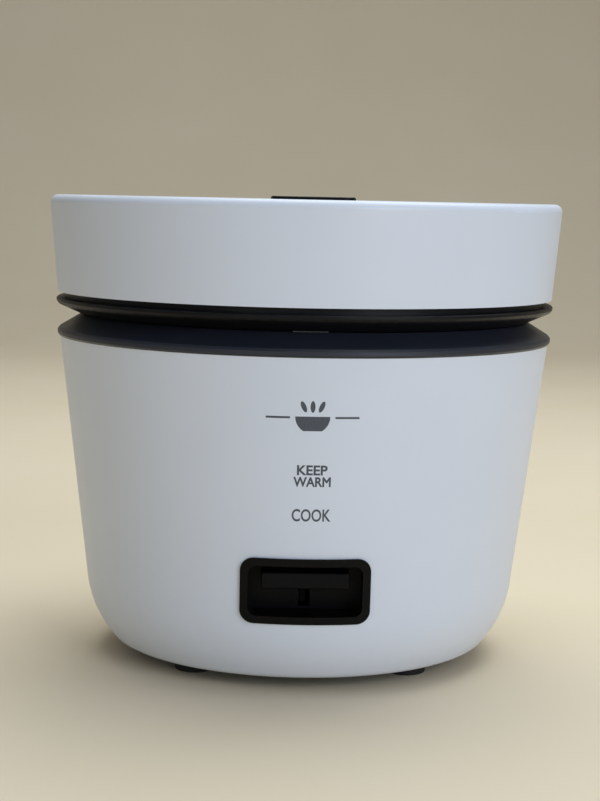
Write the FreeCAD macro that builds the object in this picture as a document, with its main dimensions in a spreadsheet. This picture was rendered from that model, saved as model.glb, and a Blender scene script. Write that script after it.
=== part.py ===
"""Small drum-shaped rice cooker with a hinged lid, as a parametric FreeCAD document.

Frame: millimetres, +Z up, front of the cooker towards -Y.  The origin lies on the
table, midway between the front of the lid and the back of the hinge.
"""
import FreeCAD, Part
import Sketcher
import math
import os

Vector = FreeCAD.Vector
doc = FreeCAD.newDocument("rice_cooker")
sheet = doc.addObject("Spreadsheet::Sheet", "sizes")


# ---------------------------------------------------------------- driving sizes
DRIVING_SIZES = [
    # the outside of the drum
    ("total_height", 170.0, "table to the flat top of the lid"),
    ("lid_radius", 95.0, "lid cover at its top edge"),
    ("skirt_taper", 2.7, "narrowing of the lid cover to its lower edge"),
    ("skirt_height", 35.1, "lid cover, top to lower edge"),
    ("edge_round", 3.0, "rounding of the lid's top edge"),
    ("cover_wall", 2.4, "wall of the lid cover"),
    ("reveal", 2.3, "shadow gap between the lid cover and its flange"),
    ("flange_out", 0.4, "black flange of the lid base beyond that edge"),
    ("flange_rim", 1.5, "straight rim of that flange"),
    ("flange_depth", 5.8, "flange top to the lid's resting face"),
    ("waist_radius", 84.0, "narrowest place between lid and body"),
    ("seat_gap", 0.4, "lid's resting face above the collar"),
    ("collar_out", 0.9, "collar beyond the shell's upper edge"),
    ("collar_slope", 5.2, "fall of the collar from waist to edge"),
    ("collar_band", 2.6, "upright outer band of the collar"),
    ("collar_wall", 2.8, "wall of the collar"),
    ("collar_spigot", 8.0, "depth that the collar reaches into the shell"),
    ("body_top_radius", 91.3, "body shell at its upper edge"),
    ("body_taper", 10.8, "narrowing of the shell to where its rounding starts"),
    ("body_low_height", 28.0, "height of that place"),
    ("heel_in", 9.3, "large rounding of the shell, inwards"),
    ("heel_height", 6.9, "height of that place"),
    ("underside_in", 4.2, "small rounding below it, inwards"),
    ("shell_foot_height", 5.0, "height of the underside above the table"),
    ("underside_wide", 6.0, "flat underside of the shell, around the bottom cover"),
    ("body_wall", 2.4, "wall of the body shell"),
    # lid
    ("base_plate", 2.0, "thickness of the lid base's disc"),
    ("well_gap", 2.1, "recess under the lid base around the pot's rim"),
    ("spigot_height", 8.0, "ring of the lid base inside the cover"),
    ("lid_plate_thick", 0.8, "inner lid plate"),
    ("seal_wide", 3.4, "silicone seal around the inner lid plate"),
    ("seal_height", 4.8, "height of the seal"),
    ("vent_back", 34.0, "steam vent behind the drum's axis"),
    ("vent_cup_radius", 15.0, "outside of the vent's cup"),
    ("vent_tube_radius", 8.0, "outside of the vent's tube"),
    ("vent_wall", 1.3, "wall of the vent"),
    ("vent_cup_depth", 6.0, "depth of the vent's cup"),
    ("screw_inset", 10.5, "lid screws inside the recess's wall"),
    ("boss_radius", 4.0, "screw bosses inside the lid cover"),
    # lid button and latch
    ("button_wide", 28.0, "lid button, across"),
    ("button_deep", 17.0, "lid button, front to back"),
    ("button_ahead", 6.0, "front edge of the button in front of the latch pivot"),
    ("button_proud", 1.0, "button above the lid's top"),
    ("button_round", 4.0, "corner radius of the button"),
    ("latch_inset", 6.0, "latch pivot inside the waist"),
    ("latch_height", 13.0, "latch pivot above the lid's resting face"),
    ("latch_arm", 12.0, "lever arm of the latch under the button"),
    ("latch_wide", 12.0, "width of the latch"),
    ("latch_thick", 1.8, "thickness of the hook and of its arm"),
    ("latch_cheek", 2.0, "each cheek that holds the latch pin"),
    ("latch_pin_radius", 1.5, "latch pin"),
    # rear hinge
    ("hinge_out", 2.0, "hinge axis behind the wider of lid and collar"),
    ("hinge_rise", 0.6, "hinge axis above the collar's top face"),
    ("hinge_pin_radius", 2.0, "hinge pin"),
    ("hinge_hub_radius", 4.6, "round end of the knuckle and lugs"),
    ("knuckle_wide", 43.0, "lid knuckle between the two lugs"),
    ("lug_wide", 6.0, "each hinge lug of the collar"),
    # pot, liner and heater
    ("ledge_depth", 4.4, "pot ledge below the collar's top face"),
    ("pot_gap", 1.8, "pot ledge around the pot's wall"),
    ("pot_radius", 70.0, "outside of the inner pot"),
    ("pot_wall", 1.2, "wall of the inner pot"),
    ("pot_rim", 4.4, "rim of the inner pot beyond its wall"),
    ("pot_corner", 10.0, "bottom corner of the inner pot"),
    ("pot_floor_height", 59.0, "underside of the inner pot"),
    ("liner_gap", 2.6, "liner around the pot"),
    ("sheet_metal", 0.8, "thickness of the liner"),
    ("liner_drop", 9.0, "liner floor below the pot"),
    ("plate_margin", 6.0, "heating plate inside the pot's flat bottom"),
    ("plate_thick", 6.5, "heating plate"),
    ("element_ridge", 1.3, "cast ridge over the heating element"),
    ("element_inset", 16.0, "middle of that ridge inside the plate's edge"),
    ("element_clear", 10.0, "least distance from the heater screws out to the ridge's middle"),
    ("plate_lip", 8.0, "least distance from the ridge's middle out to the plate's edge"),
    ("screw_clear", 13.0, "heater screws outside the sensor cap"),
    ("post_circle", 48.0, "radius of the circle of chassis posts"),
    ("post_radius", 3.5, "chassis posts"),
    # thermostat in the middle of the heating plate
    ("cap_wall", 1.2, "skirt of the sensor cap"),
    ("sensor_travel", 1.0, "stroke of the sprung sensor cap"),
    ("sleeve_wall", 1.0, "wall of the thermostat sleeve"),
    ("sleeve_length", 20.0, "thermostat sleeve"),
    ("magnet_radius", 11.0, "magnet and temperature-sensing ring"),
    ("magnet_gap", 1.5, "sleeve around the magnet"),
    ("magnet_thick", 5.0, "magnet"),
    ("magnet_lift", 4.5, "lift of the magnet when the lever is pressed"),
    ("rod_radius", 2.5, "magnet rod"),
    # cooking lever
    ("recess_height", 38.5, "middle of the front recess above the table"),
    ("recess_wide", 39.0, "opening of the front recess"),
    ("recess_high", 17.7, "opening of the front recess"),
    ("recess_round", 3.0, "corner radius of the opening"),
    ("recess_deep", 14.0, "recess behind the body's face"),
    ("bezel_border", 2.7, "frame around the recess"),
    ("bezel_proud", 0.9, "frame in front of the body's face"),
    ("bezel_wall", 1.4, "walls of the recess"),
    ("key_wide", 30.0, "lever key"),
    ("key_high", 5.7, "lever key"),
    ("key_deep", 7.5, "lever key"),
    ("key_rise", 3.2, "lever key above the middle of the recess"),
    ("key_setback", 2.9, "key face behind the body's face"),
    ("pivot_forward", 27.0, "lever pivot in front of the axis"),
    ("pivot_height", 28.0, "lever pivot above the table"),
    ("pivot_pin_radius", 1.5, "lever pivot pin"),
    ("lever_thick", 2.0, "steel of the lever arm"),
    ("tab_height", 25.8, "middle of the lever's tab above the table"),
    ("switch_forward", 45.0, "switch plunger in front of the axis"),
    ("switch_long", 20.0, "micro switch"),
    ("switch_high", 10.0, "micro switch"),
    ("switch_wide", 6.4, "micro switch"),
    # behind and below
    ("inlet_wide", 27.0, "power inlet housing"),
    ("inlet_high", 20.0, "power inlet housing"),
    ("inlet_height", 31.0, "middle of the power inlet above the table"),
    ("inlet_deep", 20.0, "power inlet housing"),
    ("inlet_border", 5.0, "boss around the inlet, both sides together"),
    ("inlet_wall", 1.5, "wall of the inlet's cavity"),
    ("lamp_low", 64.0, "lower indicator lamp above the table"),
    ("lamp_high", 77.0, "upper indicator lamp above the table"),
    ("lamp_radius", 2.5, "indicator lamps"),
    ("floor_thick", 2.2, "bottom cover"),
    ("floor_flange", 1.1, "rim of the bottom cover under the shell"),
    ("foot_radius", 7.5, "rubber feet"),
    ("foot_inset", 7.0, "middle of each foot inside the bottom cover's edge"),
    # fits
    ("running_gap", 0.05, "radial clearance of a shaft in its bore"),
    ("part_gap", 0.3, "clearance around pieces that move or drop in"),
    ("screw_radius", 1.4, "screw shanks"),
    ("head_radius", 2.9, "screw heads"),
    ("head_high", 1.8, "screw heads"),
]


class Size:
    """A length in mm together with the spreadsheet expression that gives it."""

    def __init__(self, value, text):
        self.value = float(value)
        self.text = text

    def __add__(self, other):
        return Size(self.value + number(other), "(%s + %s)" % (self.text, text(other)))

    def __radd__(self, other):
        return Size(number(other) + self.value, "(%s + %s)" % (text(other), self.text))

    def __sub__(self, other):
        return Size(self.value - number(other), "(%s - %s)" % (self.text, text(other)))

    def __rsub__(self, other):
        return Size(number(other) - self.value, "(%s - %s)" % (text(other), self.text))

    def __mul__(self, other):
        return Size(self.value * number(other), "(%s * %s)" % (self.text, text(other)))

    __rmul__ = __mul__

    def __truediv__(self, other):
        return Size(self.value / number(other), "(%s / %s)" % (self.text, text(other)))

    def __neg__(self):
        return Size(-self.value, "(-1 * %s)" % self.text)


def number(value):
    return value.value if isinstance(value, Size) else float(value)


def text(value):
    return value.text if isinstance(value, Size) else "%.9g" % value


def larger(first, second):
    """The larger of two sizes."""
    return Size(max(first.value, second.value), "max(%s; %s)" % (first.text, second.text))


class SizeTable:
    """The spreadsheet's aliases as Size attributes."""


size = SizeTable()
for row, (alias, value, note) in enumerate(DRIVING_SIZES, start=1):
    sheet.set("A%d" % row, note)
    sheet.set("B%d" % row, "%g" % value)
    sheet.setAlias("B%d" % row, alias)
    setattr(size, alias, Size(value, "sizes." + alias))
doc.recompute()


# ---------------------------------------------------------------- drawing helpers
def bind(thing, path, value):
    """Tie a property to the spreadsheet, or set it when the value is a plain number."""
    thing.setExpression(path, text(value))


def fixed_point(sketch, geometry, end, across, up):
    """Hold one end of a line, arc or circle at a place measured from the sketch's origin."""
    for kind, value, axis in (("DistanceX", across, -2), ("DistanceY", up, -1)):
        if number(value) == 0.0:
            sketch.addConstraint(Sketcher.Constraint("PointOnObject", geometry, end, axis))
            continue
        place = Sketcher.Constraint(kind, -1, 1, geometry, end, number(value))
        index = sketch.addConstraint(place)
        sketch.setExpression("Constraints[%d]" % index, text(value))


def tangent_arc(start, end, direction):
    """The arc from start to end that leaves start along direction, its sense and last direction."""
    chord = end - start
    normal = Vector(-direction.y, direction.x, 0)
    radius = chord.dot(chord) / (2 * chord.dot(normal))
    centre = start + normal * radius
    circle = Part.Circle(centre, Vector(0, 0, 1), abs(radius))
    angles = [math.atan2(p.y - centre.y, p.x - centre.x) for p in (start, end)]
    anticlockwise = radius > 0
    if not anticlockwise:
        angles.reverse()
    along = chord.normalize()
    last = along * (2 * direction.dot(along)) - direction
    return Part.ArcOfCircle(circle, angles[0], angles[1]), anticlockwise, last


def outline(sketch, points, arcs=()):
    """A closed outline; a segment whose index is in arcs is an arc tangent to the one before."""
    count = len(points)
    places = [Vector(number(x), number(y), 0) for x, y in points]
    first = sketch.GeometryCount
    ends = []
    direction = None
    for i in range(count):
        start = places[i]
        end = places[(i + 1) % count]
        if i in arcs:
            curve, anticlockwise, direction = tangent_arc(start, end, direction)
            ends.append((1, 2) if anticlockwise else (2, 1))
        else:
            curve = Part.LineSegment(start, end)
            direction = (end - start).normalize()
            ends.append((1, 2))
        sketch.addGeometry(curve)
    for i in range(count):
        after = (i + 1) % count
        kind = "Tangent" if after in arcs else "Coincident"
        joint = (first + i, ends[i][1], first + after, ends[after][0])
        sketch.addConstraint(Sketcher.Constraint(kind, *joint))
        fixed_point(sketch, first + i, ends[i][0], *points[i])


def rectangle(sketch, across, up, wide, high):
    """A rectangle about a centre."""
    left, right = across - wide / 2, across + wide / 2
    low, top = up - high / 2, up + high / 2
    outline(sketch, [(left, low), (right, low), (right, top), (left, top)])


def rounded_rectangle(sketch, across, up, wide, high, radius):
    """A rectangle with round corners about a centre."""
    left, right = across - wide / 2, across + wide / 2
    low, top = up - high / 2, up + high / 2
    points = [
        (left + radius, low), (right - radius, low), (right, low + radius), (right, top - radius),
        (right - radius, top), (left + radius, top), (left, top - radius), (left, low + radius),
    ]
    outline(sketch, points, arcs=(1, 3, 5, 7))


def circle(sketch, across, up, radius):
    """A circle about a centre."""
    centre = Vector(number(across), number(up), 0)
    index = sketch.addGeometry(Part.Circle(centre, Vector(0, 0, 1), number(radius)))
    fixed_point(sketch, index, 3, across, up)
    bound = sketch.addConstraint(Sketcher.Constraint("Radius", index, number(radius)))
    sketch.setExpression("Constraints[%d]" % bound, text(radius))


def ring_of_places(radius, count, first_angle):
    """Centres spread evenly on a circle about the drum's axis."""
    angles = [math.radians(first_angle + i * 360.0 / count) for i in range(count)]
    return [(radius * math.cos(a), radius * math.sin(a)) for a in angles]


# ---------------------------------------------------------------- feature helpers
sub_parts = []


def place(thing, across=0.0, back=0.0, up=0.0):
    """Bind a sub-part's position, measured from the drum's axis at the table."""
    for axis, value in (("x", across), ("y", drum_back + back), ("z", up)):
        bind(thing, "Placement.Base." + axis, value)


def new_body(label):
    """An empty body about the drum's axis, that becomes one sub-part."""
    body = doc.addObject("PartDesign::Body", label)
    body.Label = label
    place(body)
    sub_parts.append(body)
    return body


def new_sketch(body, role, offset=0.0):
    """A sketch on one of the body's origin planes, moved along its normal by offset."""
    sketch = body.newObject("Sketcher::SketchObject", body.Label + "_sketch")
    plane = [f for f in body.Origin.OriginFeatures if f.Role == role][0]
    sketch.AttachmentSupport = [(plane, "")]
    sketch.MapMode = "FlatFace"
    bind(sketch, "AttachmentOffset.Base.z", offset)
    return sketch


def turn(body, points, arcs=(), cut=False):
    """Revolve an outline of (radius, height) points about the body's upright axis."""
    sketch = new_sketch(body, "XZ_Plane")
    outline(sketch, points, arcs)
    kind = "PartDesign::Groove" if cut else "PartDesign::Revolution"
    feature = body.newObject(kind, body.Label + ("_groove" if cut else "_turned"))
    feature.Profile = sketch
    feature.ReferenceAxis = (sketch, ["V_Axis"])
    feature.Angle = 360.0
    return feature


def band(inner, outer, low, high):
    """The outline of a plain ring."""
    return [(inner, low), (outer, low), (outer, high), (inner, high)]


def extrude(body, role, offset, length, draw, cut=False, middle=False):
    """Pad or pocket what draw(sketch) draws, along the plane's normal, or both ways."""
    sketch = new_sketch(body, role, offset)
    draw(sketch)
    kind = "PartDesign::Pocket" if cut else "PartDesign::Pad"
    feature = body.newObject(kind, body.Label + ("_pocket" if cut else "_pad"))
    feature.Profile = sketch
    if middle:
        feature.SideType = "Symmetric"
    feature.Reversed = cut and not middle
    bind(feature, "Length", length)
    return feature


def upright_stack(body, places, steps):
    """Coaxial round steps (radius, low, high) at each place, as separate solids."""
    body.AllowCompound = True
    for radius, low, high in steps:
        def draw(sketch):
            for across, back in places:
                circle(sketch, across, back, radius)
        extrude(body, "XY_Plane", low, high - low, draw)


def round_holes(body, places, radius, low, high):
    """Upright holes."""
    def draw(sketch):
        for across, back in places:
            circle(sketch, across, back, radius)
    extrude(body, "XY_Plane", low, high - low, draw, cut=True)


def round_face(body, direction, radius):
    """Round the edges of the flat face that lies furthest along a direction."""
    doc.recompute()
    last = body.Tip
    reach = [face.CenterOfMass.dot(direction) for face in last.Shape.Faces]
    edge = body.newObject("PartDesign::Fillet", body.Label + "_fillet")
    edge.Base = (last, ["Face%d" % (reach.index(max(reach)) + 1)])
    edge.Radius = radius


def cross_pin(label, radius, length, back, up, head=0.0):
    """A pin along X, with a low head at each end when head is more than nothing."""
    pin = new_body(label)
    extrude(pin, "YZ_Plane", 0.0, length, lambda s: circle(s, back, up, radius), middle=True)
    if number(head) > 0:
        for side in (-1, 1):
            outer = side * length / 2 + (-1.0 if side < 0 else 0.0)
            extrude(pin, "YZ_Plane", outer, 1.0, lambda s: circle(s, back, up, head))
    return pin


def coil_spring(label, mean_radius, wire_radius, low, high, turns, across=0.0, back=0.0):
    """A coil of round wire between two heights, made from Part's helix and sweep."""
    height = number(high) - number(low) - 2 * wire_radius
    helix = Part.makeHelix(height / turns, height, mean_radius)
    section = Part.Wire(Part.makeCircle(wire_radius, Vector(mean_radius, 0, 0), Vector(0, 1, 0)))
    coil = Part.Wire(helix).makePipeShell([section], True, True)
    spring = doc.addObject("Part::Feature", label)
    spring.Label = label
    spring.Shape = coil
    place(spring, across, back, low + wire_radius)
    sub_parts.append(spring)
    return spring


# ---------------------------------------------------------------- radii shared by the pieces
skirt_radius = size.lid_radius - size.skirt_taper
flange_radius = skirt_radius + size.flange_out
body_low_radius = size.body_top_radius - size.body_taper
heel_radius = body_low_radius - size.heel_in
shell_foot_radius = heel_radius - size.underside_in
foot_opening = shell_foot_radius - size.underside_wide
foot_circle = foot_opening - size.foot_inset
collar_radius = size.body_top_radius + size.collar_out
widest_radius = larger(size.lid_radius, collar_radius)
hinge_back = widest_radius + size.hinge_out
pot_rim_radius = size.pot_radius + size.pot_rim
ledge_inner = size.pot_radius + size.pot_gap
liner_radius = size.pot_radius + size.liner_gap
liner_outer = liner_radius + size.sheet_metal
well_radius = pot_rim_radius + size.well_gap
screw_circle = well_radius - size.screw_inset
lid_plate_radius = pot_rim_radius - size.seal_wide
latch_forward = size.waist_radius - size.latch_inset
button_front = latch_forward + size.button_ahead
sleeve_radius = size.magnet_radius + size.magnet_gap + size.sleeve_wall
sensor_radius = sleeve_radius + size.part_gap + size.cap_wall

# the heating plate fills the pot's flat bottom and is never narrower than its element needs
heater_screw_circle = sensor_radius + size.screw_clear
element_least = heater_screw_circle + size.element_clear
flat_bottom = size.pot_radius - size.pot_corner
plate_radius = larger(flat_bottom - size.plate_margin, element_least + size.plate_lip)
element_circle = larger(plate_radius - size.element_inset, element_least)

# the drum's axis stands this far behind the origin, so that the hinge counts in the middle
drum_back = (widest_radius - hinge_back - size.hinge_hub_radius) / 2


# ---------------------------------------------------------------- levels shared by the pieces
lid_top = size.total_height
skirt_low = lid_top - size.skirt_height
flange_top = skirt_low - size.reveal
lid_rest = flange_top - size.flange_depth
collar_top = lid_rest - size.seat_gap
collar_edge = collar_top - size.collar_slope
shell_top = collar_edge - size.collar_band
ledge_top = collar_top - size.ledge_depth
ceiling = lid_top - size.cover_wall
disc_low = flange_top - size.base_plate
hinge_up = collar_top + size.hinge_rise
liner_floor = size.pot_floor_height - size.liner_drop
floor_low = size.shell_foot_height - size.floor_flange
floor_top = size.shell_foot_height + size.floor_thick
plate_low = size.pot_floor_height - size.plate_thick

# the body's side is a straight taper, so its radius at a height is
wall_slope = (size.body_top_radius - body_low_radius) / (shell_top - size.body_low_height)


def body_radius(height):
    """Outside radius of the body shell on its straight taper."""
    return body_low_radius + (height - size.body_low_height) * wall_slope


# ---------------------------------------------------------------- lid
def make_lid_cover():
    """White drum-shaped cover, open below, with a button slot and a vent hole on top."""
    cover = new_body("lid_cover")
    wall = size.cover_wall
    turn(cover, [
        (skirt_radius - wall, skirt_low),
        (skirt_radius, skirt_low),
        (size.lid_radius, lid_top - size.edge_round),
        (size.lid_radius - size.edge_round, lid_top),
        (0, lid_top),
        (0, ceiling),
        (size.lid_radius - size.edge_round - wall, ceiling),
        (size.lid_radius - wall, lid_top - size.edge_round - wall / 2),
    ], arcs=(2,))
    boss_places = ring_of_places(screw_circle, 4, 45)

    def bosses(sketch):
        for across, back in boss_places:
            circle(sketch, across, back, size.boss_radius)
    extrude(cover, "XY_Plane", flange_top, ceiling - flange_top, bosses)
    round_holes(cover, boss_places, size.screw_radius + size.running_gap,
                flange_top, flange_top + 12.0)
    round_holes(cover, [(0, size.vent_back)], size.vent_cup_radius + size.part_gap,
                ceiling - 1.0, lid_top + 1.0)
    gap = size.part_gap
    middle = size.button_deep / 2 - button_front
    extrude(cover, "XY_Plane", ceiling - 1.0, size.cover_wall + 2.0, lambda s: rounded_rectangle(
        s, 0, middle, size.button_wide + gap * 2, size.button_deep + gap * 2,
        size.button_round + gap), cut=True)


def make_lid_base():
    """Black underside of the lid: flange, cone, cover spigot, latch cheeks and hinge knuckle."""
    base = new_body("lid_base")
    rim_low = flange_top - size.flange_rim
    spigot = skirt_radius - size.cover_wall - size.part_gap * 2
    spigot_in = spigot - 2.0
    turn(base, [
        (0, disc_low),
        (well_radius, disc_low),
        (well_radius, lid_rest),
        (size.waist_radius, lid_rest),
        (flange_radius - 1.2, rim_low - 1.0),
        (flange_radius, rim_low + 0.4),
        (flange_radius, flange_top - 0.4),
        (flange_radius - 0.4, flange_top),
        (spigot, flange_top),
        (spigot, flange_top + size.spigot_height),
        (spigot_in, flange_top + size.spigot_height),
        (spigot_in, flange_top),
        (0, flange_top),
    ], arcs=(4,))
    latch_y = -latch_forward
    latch_z = lid_rest + size.latch_height
    cheek_in = size.latch_wide / 2 + size.part_gap * 2

    def cheek(sketch):
        rectangle(sketch, latch_y, (flange_top - 1.0 + latch_z + 4.0) / 2,
                  8.0, latch_z + 4.0 - (flange_top - 1.0))
    for side_start in (cheek_in, -cheek_in - size.latch_cheek):
        extrude(base, "YZ_Plane", side_start, size.latch_cheek, cheek)
    extrude(base, "YZ_Plane", 0.0, (cheek_in + 3.0) * 2, lambda s: circle(
        s, latch_y, latch_z, size.latch_pin_radius), cut=True, middle=True)
    hinge_y = hinge_back

    def neck(sketch):
        inner = size.waist_radius + 1.0
        outline(sketch, [(inner, lid_rest + 0.4), (hinge_y, lid_rest + 0.4),
                         (hinge_y, hinge_up + size.hinge_hub_radius - 0.2),
                         (inner, hinge_up + size.hinge_hub_radius - 0.2)])
    extrude(base, "YZ_Plane", 0.0, size.knuckle_wide, neck, middle=True)
    extrude(base, "YZ_Plane", 0.0, size.knuckle_wide, lambda s: circle(
        s, hinge_y, hinge_up, size.hinge_hub_radius - 0.2), middle=True)
    extrude(base, "YZ_Plane", 0.0, size.knuckle_wide + 2.0, lambda s: circle(
        s, hinge_y, hinge_up, size.hinge_pin_radius + size.running_gap), cut=True, middle=True)
    slot_front = latch_forward + size.latch_thick / 2 + 1.0 + 2.8
    slot_back = latch_forward - 0.6
    extrude(base, "XY_Plane", lid_rest - 1.0, size.flange_depth + 2.0, lambda s: rectangle(
        s, 0, -(slot_front + slot_back) / 2, size.latch_wide + size.part_gap * 3,
        slot_front - slot_back), cut=True)
    round_holes(base, ring_of_places(screw_circle, 4, 45), size.screw_radius + 0.3,
                disc_low - 1.0, flange_top + 1.0)
    round_holes(base, [(0, size.vent_back)], size.vent_tube_radius - size.vent_wall,
                disc_low - 1.0, flange_top + 1.0)
    post_low = disc_low - 3.4
    extrude(base, "XY_Plane", post_low, disc_low - post_low, lambda s: circle(
        s, 0, 0, 6.0))
    round_holes(base, [(0, 0)], size.rod_radius + size.part_gap, post_low - 1.0, disc_low + 1.0)


def make_inner_lid():
    """Removable aluminium plate with its silicone seal and centre knob, under the lid base."""
    plate_top = disc_low - 3.4
    plate_under = plate_top - size.lid_plate_thick
    plate = new_body("inner_lid_plate")
    turn(plate, band(size.rod_radius + size.part_gap, lid_plate_radius,
                     plate_under, plate_top))
    round_holes(plate, ring_of_places(size.vent_back, 6, 30), 2.0,
                plate_under - 1.0, plate_top + 1.0)
    seal = new_body("lid_seal")
    seal_low = ledge_top + size.pot_wall + size.part_gap
    lip = lid_plate_radius - 1.4
    turn(seal, [
        (lip, seal_low + 0.8),
        (pot_rim_radius - 1.2, seal_low),
        (pot_rim_radius, seal_low + 1.2),
        (pot_rim_radius, seal_low + size.seal_height),
        (lip, seal_low + size.seal_height),
        (lip, plate_top),
        (lid_plate_radius, plate_top),
        (lid_plate_radius, plate_under),
        (lip, plate_under),
    ])
    knob = new_body("plate_knob")
    turn(knob, [
        (0, plate_under - 4.0),
        (7.0, plate_under - 4.0),
        (8.5, plate_under - 2.0),
        (8.5, plate_under),
        (size.rod_radius + 0.1, plate_under),
        (size.rod_radius + 0.1, disc_low - 0.4),
        (0, disc_low - 0.4),
    ])


def make_steam_vent():
    """Vent tube with a cup flush in the lid's top, and the slotted cap that lifts out of it."""
    tube = new_body("steam_vent_tube")
    outer = size.vent_tube_radius
    bore = outer - size.vent_wall
    cup = size.vent_cup_radius
    cup_in = cup - size.vent_wall
    rim = lid_top - 0.4
    cup_floor = rim - size.vent_cup_depth
    flange_out = cup + 2.5
    turn(tube, [
        (bore, flange_top), (outer, flange_top), (outer, cup_floor - size.vent_wall),
        (cup, cup_floor - size.vent_wall), (cup, ceiling - 1.4), (flange_out, ceiling - 1.4),
        (flange_out, ceiling), (cup, ceiling), (cup, rim), (cup_in, rim), (cup_in, cup_floor),
        (bore, cup_floor),
    ])
    place(tube, back=size.vent_back)
    cap = new_body("steam_vent_cap")
    cap_out = cup_in - size.part_gap
    cap_top = rim - 0.2
    cap_low = cup_floor + 0.1
    turn(cap, [
        (cap_out - 1.2, cap_low), (cap_out, cap_low), (cap_out, cap_top - 0.6),
        (cap_out - 0.6, cap_top), (4.5, cap_top), (4.0, cap_top - 0.8), (0, cap_top - 0.8),
        (0, cap_top - 2.4), (cap_out - 1.2, cap_top - 2.4),
    ])

    def slots(sketch):
        for across, back in ring_of_places(cap_out - 5.0, 6, 0):
            circle(sketch, across, back, 1.5)
    extrude(cap, "XY_Plane", cap_top - 3.0, 4.0, slots, cut=True)
    place(cap, back=size.vent_back)


def make_lid_button():
    """Push button at the lid's front edge, with a retaining flange and a stem to the latch."""
    button = new_body("lid_button")
    middle = size.button_deep / 2 - button_front
    button_top = lid_top + size.button_proud
    flange_high = ceiling - 0.1
    flange_low = flange_high - 1.2
    extrude(button, "XY_Plane", flange_low, button_top - flange_low, lambda s: rounded_rectangle(
        s, 0, middle, size.button_wide, size.button_deep, size.button_round))
    round_face(button, Vector(0, 0, 1), 0.6)
    extrude(button, "XY_Plane", flange_low, 1.2, lambda s: rounded_rectangle(
        s, 0, middle, size.button_wide + 3.0, size.button_deep + 2.4, size.button_round))
    arm_top = lid_rest + size.latch_height + size.latch_thick / 2
    stem_low = arm_top + 0.2
    stem_y = size.latch_arm - latch_forward
    stem_front = stem_y - 0.7
    extrude(button, "XY_Plane", stem_low, flange_low - stem_low, lambda s: rectangle(
        s, 0, stem_y, 8.0, 1.4))
    extrude(button, "XY_Plane", stem_low + 8.0, flange_low - stem_low - 8.0, lambda s: rectangle(
        s, 0, stem_front - 2.0, 1.4, 4.4))


def make_latch():
    """Latch hook that swings on its pin when the button presses its arm."""
    hook = new_body("latch_hook")
    pivot_y = -latch_forward
    pivot_z = lid_rest + size.latch_height
    half = size.latch_thick / 2
    front = pivot_y - 1.0 - half
    back = pivot_y - 1.0 + half
    tip = lid_rest - 3.2
    arm_end = pivot_y + size.latch_arm + 1.5

    def shape(sketch):
        outline(sketch, [
            (front, pivot_z), (front, tip), (back - 0.3, tip), (back + 0.8, tip + 1.1),
            (back + 0.8, tip + 1.8), (back, tip + 2.4), (back, pivot_z - half),
            (arm_end, pivot_z - half), (arm_end, pivot_z + half), (back, pivot_z + half),
        ])
    extrude(hook, "YZ_Plane", 0.0, size.latch_wide, shape, middle=True)
    hub = size.latch_pin_radius + 1.8
    extrude(hook, "YZ_Plane", 0.0, size.latch_wide, lambda s: circle(
        s, pivot_y, pivot_z, hub), middle=True)
    extrude(hook, "YZ_Plane", 0.0, size.latch_wide + 2.0, lambda s: circle(
        s, pivot_y, pivot_z, size.latch_pin_radius + size.running_gap), cut=True, middle=True)
    cheek_out = size.latch_wide / 2 + size.part_gap * 2 + size.latch_cheek
    cross_pin("latch_pin", size.latch_pin_radius, cheek_out * 2 + 0.6, pivot_y, pivot_z)
    coil_spring("latch_spring", 2.4, 0.3, flange_top, pivot_z - half, 4,
                back=pivot_y + size.latch_arm - 1.0)


def make_lid_screws():
    """Screws from below through the lid base into the cover's bosses."""
    screws = new_body("lid_screws")
    upright_stack(screws, ring_of_places(screw_circle, 4, 45), [
        (size.head_radius, disc_low - size.head_high, disc_low),
        (size.screw_radius, disc_low - 0.5, flange_top + 10.0),
    ])


# ---------------------------------------------------------------- body and collar
def make_body_shell():
    """White tapered shell with a large rounding at the bottom and a cut-out front and back."""
    shell = new_body("body_shell")
    wall = size.body_wall
    turn(shell, [
        (size.body_top_radius, shell_top),
        (body_low_radius, size.body_low_height),
        (heel_radius, size.heel_height),
        (shell_foot_radius, size.shell_foot_height),
        (foot_opening, size.shell_foot_height),
        (foot_opening, size.shell_foot_height + wall),
        (shell_foot_radius - wall * 0.3, size.shell_foot_height + wall),
        (heel_radius - wall * 0.8, size.heel_height + wall * 0.6),
        (body_low_radius - wall, size.body_low_height),
        (size.body_top_radius - wall, shell_top),
    ], arcs=(1, 2))
    gap = size.part_gap * 2 + size.bezel_wall * 2
    extrude(shell, "XZ_Plane", heel_radius - 10.0, 40.0, lambda s: rounded_rectangle(
        s, 0, size.recess_height, size.recess_wide + gap, size.recess_high + gap,
        size.recess_round), cut=True)
    reach = size.body_top_radius + 10.0
    inlet_gap = size.inlet_border + size.part_gap * 2
    extrude(shell, "XZ_Plane", -reach, 40.0, lambda s: rounded_rectangle(
        s, 0, size.inlet_height, size.inlet_wide + inlet_gap, size.inlet_high + inlet_gap,
        size.recess_round + size.part_gap), cut=True)


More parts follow.
